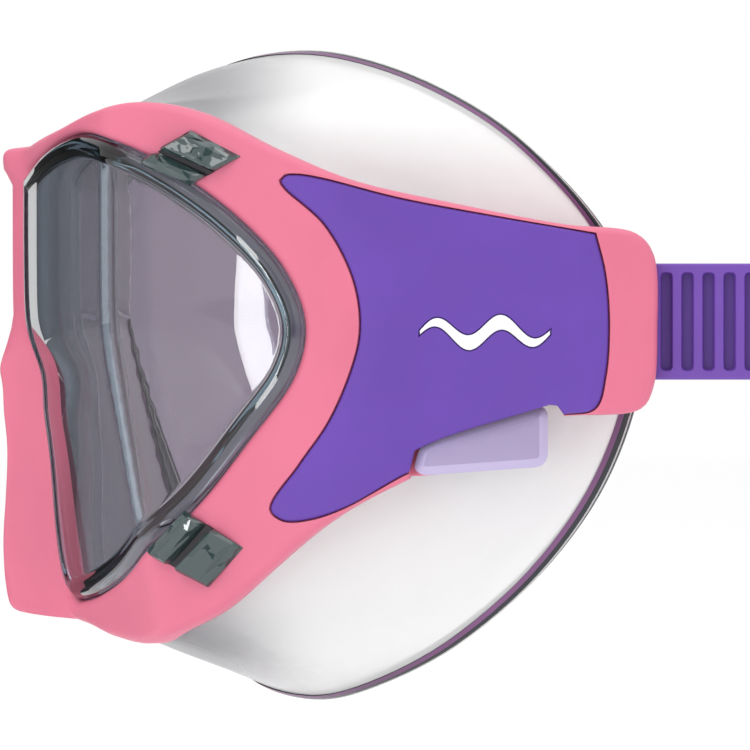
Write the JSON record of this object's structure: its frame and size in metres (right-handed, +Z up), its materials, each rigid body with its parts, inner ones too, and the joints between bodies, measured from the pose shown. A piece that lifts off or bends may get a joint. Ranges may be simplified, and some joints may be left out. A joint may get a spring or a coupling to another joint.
{
  "type": "junior swim mask",
  "caption": "Junior swim mask: wrap frame with tinted lenses, clear face skirt, squeeze-lever buckles and an adjustable ladder strap.",
  "frame": {"origin": "middle of the face seal, on the wearer's centre plane, level with the eyes", "axes": "+X the wearer's left, +Y back towards and past the wearer's face, +Z up"},
  "size_m": [0.148, 0.1867, 0.0857],
  "materials": {
    "frame_plastic": "satin pink",
    "lens_plastic": "clear grey tint",
    "skirt_silicone": "clear gloss",
    "panel_plastic": "satin purple",
    "inlay_plastic": "satin white",
    "lever_plastic": "satin lilac",
    "inner_plastic": "natural",
    "strap_rubber": "matte purple",
    "pin_steel": "brushed"
  },
  "bodies": {
    "mask": {"frame": "frame_plastic", "lens_left": "lens_plastic", "lens_right": "lens_plastic", "skirt": "skirt_silicone", "lens_retainer_left": "inner_plastic", "lens_retainer_right": "inner_plastic", "side_panel_left": "panel_plastic", "side_panel_right": "panel_plastic", "wave_inlay_left": "inlay_plastic", "wave_inlay_right": "inlay_plastic", "lever_pin_left": "pin_steel", "lever_pin_right": "pin_steel", "lever_spring_left": "pin_steel", "lever_spring_right": "pin_steel", "roller_pin_left": "pin_steel", "roller_pin_right": "pin_steel", "pawl_pin_left": "pin_steel", "pawl_pin_right": "pin_steel", "strap_turn_left": "strap_rubber", "strap_turn_right": "strap_rubber"},
    "lever_left": {"squeeze_lever_left": "lever_plastic"},
    "lever_right": {"squeeze_lever_right": "lever_plastic"},
    "pawl_body_left": {"pawl_left": "inner_plastic"},
    "pawl_body_right": {"pawl_right": "inner_plastic"},
    "roller_body_left": {"roller_left": "inner_plastic"},
    "roller_body_right": {"roller_right": "inner_plastic"},
    "strap": {"strap_loop": "strap_rubber"},
    "tail_left": {"strap_tail_left": "strap_rubber"},
    "tail_right": {"strap_tail_right": "strap_rubber"},
    "keeper_left": {"strap_keeper_left": "panel_plastic"},
    "keeper_right": {"strap_keeper_right": "panel_plastic"}
  },
  "joints": [
    {"name": "strap_slide", "type": "slide", "parent": "mask", "child": "strap", "axis": [0, 1, 0], "range_m": [-0.006, 0.008]},
    {"name": "tail_slide_left", "type": "slide", "parent": "mask", "child": "tail_left", "axis": [0, 1, 0], "range_m": [-0.008, 0.006], "deforming": ["strap_turn_left"]},
    {"name": "tail_slide_right", "type": "slide", "parent": "mask", "child": "tail_right", "axis": [0, 1, 0], "range_m": [-0.008, 0.006], "deforming": ["strap_turn_right"]},
    {"name": "roller_spin_left", "type": "hinge", "parent": "mask", "child": "roller_body_left", "pos_m": [0.0674, 0.015, 0.0068], "axis": [0, 0, 1], "range_deg": [-250, 190]},
    {"name": "roller_spin_right", "type": "hinge", "parent": "mask", "child": "roller_body_right", "pos_m": [-0.0674, 0.015, 0.0068], "axis": [0, 0, 1], "range_deg": [-190, 250]},
    {"name": "lever_hinge_left", "type": "hinge", "parent": "mask", "child": "lever_left", "pos_m": [0.0677, 0.0076, -0.0103], "axis": [1, 0, 0], "range_deg": [0, 5.5], "stiffness_Nm_per_rad": 0.5, "deforming": ["lever_spring_left"]},
    {"name": "lever_hinge_right", "type": "hinge", "parent": "mask", "child": "lever_right", "pos_m": [-0.0677, 0.0076, -0.0103], "axis": [1, 0, 0], "range_deg": [0, 5.5], "stiffness_Nm_per_rad": 0.5, "deforming": ["lever_spring_right"]},
    {"name": "pawl_hinge_left", "type": "hinge", "parent": "mask", "child": "pawl_body_left", "pos_m": [0.0673, 0.0256, 0.0068], "axis": [0, 0, -1], "range_deg": [0, 8]},
    {"name": "pawl_hinge_right", "type": "hinge", "parent": "mask", "child": "pawl_body_right", "pos_m": [-0.0673, 0.0256, 0.0068], "axis": [0, 0, 1], "range_deg": [0, 8]},
    {"name": "keeper_slide_left", "type": "slide", "parent": "mask", "child": "keeper_left", "axis": [0, 1, 0], "range_m": [-0.02, 0.002]},
    {"name": "keeper_slide_right", "type": "slide", "parent": "mask", "child": "keeper_right", "axis": [0, 1, 0], "range_m": [-0.02, 0.002]}
  ],
  "couplings": [
    {"joint": "tail_slide_left", "follows": "strap_slide", "ratio": -1},
    {"joint": "tail_slide_right", "follows": "strap_slide", "ratio": -1},
    {"joint": "roller_spin_left", "follows": "strap_slide", "rad_per_m": -526},
    {"joint": "roller_spin_right", "follows": "strap_slide", "rad_per_m": 526},
    {"joint": "pawl_hinge_left", "follows": "lever_hinge_left", "ratio": 1.4},
    {"joint": "pawl_hinge_right", "follows": "lever_hinge_right", "ratio": 1.4}
  ]
}
